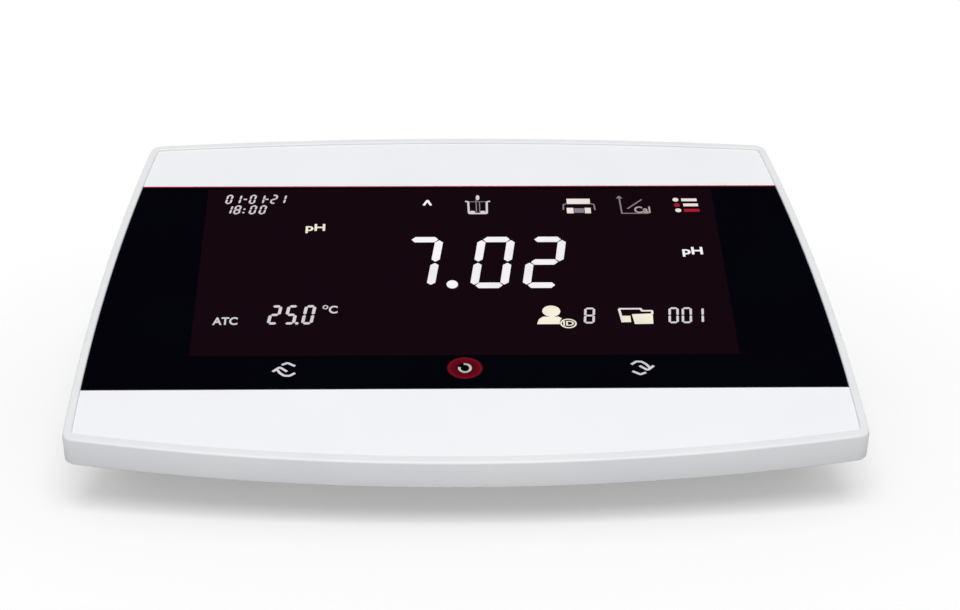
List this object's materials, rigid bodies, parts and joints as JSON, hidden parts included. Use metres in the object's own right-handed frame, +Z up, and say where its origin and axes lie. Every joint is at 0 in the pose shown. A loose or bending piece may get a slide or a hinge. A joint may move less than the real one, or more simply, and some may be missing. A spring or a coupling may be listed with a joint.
{
  "type": "ph meter",
  "caption": "Wedge-shaped benchtop pH meter with a white moulded housing, a black touch display face, rear jacks and a bayonet shorting cap.",
  "frame": {"origin": "bottom centre of the bounding box, on the table plane under the rubber feet", "axes": "+X to the user's right along the housing's width, +Y to the rear towards the jack panel, +Z up"},
  "size_m": [0.2348, 0.1778, 0.069],
  "materials": {
    "white_plastic": "white moulded ABS, fine satin grain",
    "white_face": "gloss white hard-coated face sheet",
    "black_lens": "gloss black back-printed display lens",
    "touch_film": "clear laminated film with printed electrodes",
    "display_glass": "dark segment display glass",
    "light_guide": "frosted acrylic light guide",
    "black_plastic": "black moulded plastic",
    "circuit_board": "green solder mask over glass fibre",
    "chip_black": "black epoxy chip casing",
    "red_guide": "red translucent light guide",
    "flat_cable": "off-white flat cable film",
    "tin_plate": "folded tin-plated steel",
    "nickel": "nickel-plated turned brass",
    "gilt": "gold-plated contact",
    "white_insulator": "white fluoropolymer insulator",
    "rubber": "black moulded rubber",
    "seal_rubber": "dark grey foam-rubber seal",
    "bare_plate": "bare brushed foil label plate",
    "grey_plastic": "light grey moulded ABS, fine spark texture",
    "steel_screw": "zinc-plated steel"
  },
  "bodies": {
    "meter": {"base_housing": "grey_plastic", "board_screw_front_left": "steel_screw", "board_screw_front_right": "steel_screw", "board_screw_rear_left": "steel_screw", "board_screw_rear_right": "steel_screw", "buzzer": "black_plastic", "clock_cell": "nickel", "clock_cell_holder": "black_plastic", "connector_board": "circuit_board", "connector_ribbon": "flat_cable", "display_driver": "chip_black", "display_ribbon": "flat_cable", "display_tray": "black_plastic", "foot_front_left": "rubber", "foot_front_right": "rubber", "foot_rear_left": "rubber", "foot_rear_right": "rubber", "front_fascia": "white_face", "hand_sensor_left": "chip_black", "hand_sensor_right": "chip_black", "housing_screw_front_left": "steel_screw", "housing_screw_front_right": "steel_screw", "housing_screw_middle_left": "steel_screw", "housing_screw_middle_right": "steel_screw", "housing_screw_rear_left": "steel_screw", "housing_screw_rear_right": "steel_screw", "housing_seal": "seal_rubber", "input_shield": "tin_plate", "key_board": "circuit_board", "key_ribbon": "flat_cable", "lcd_backlight": "light_guide", "lcd_glass": "display_glass", "main_board": "circuit_board", "ph_jack": "nickel", "ph_jack_contact": "gilt", "ph_jack_insulator": "white_insulator", "ph_jack_nut": "nickel", "power_inlet": "black_plastic", "power_light_ring": "red_guide", "processor": "chip_black", "rating_plate": "bare_plate", "rear_fascia": "white_face", "reference_jack": "black_plastic", "serial_jackscrew_left": "nickel", "serial_jackscrew_right": "nickel", "serial_port": "tin_plate", "stirrer_jack": "black_plastic", "temperature_jack": "nickel", "touch_lens": "black_lens", "touch_sensor": "touch_film", "tray_screw_front_left": "steel_screw", "tray_screw_front_right": "steel_screw", "tray_screw_rear_left": "steel_screw", "tray_screw_rear_right": "steel_screw", "upper_housing": "white_plastic", "usb_a_port": "tin_plate", "usb_b_port": "tin_plate"},
    "plug": {"shorting_plug": "nickel"},
    "sleeve": {"bayonet_sleeve": "nickel"}
  },
  "joints": [
    {"name": "plug_slide", "type": "slide", "parent": "meter", "child": "plug", "axis": [0, 1, 0], "range_m": [0, 0.002]},
    {"name": "sleeve_turn", "type": "hinge", "parent": "plug", "child": "sleeve", "pos_m": [-0.072, 0.06989, 0.03], "axis": [0, 1, 0], "range_deg": [0, 90]}
  ],
  "couplings": [
    {"joint": "plug_slide", "follows": "sleeve_turn", "m_per_rad": 0.001273}
  ]
}
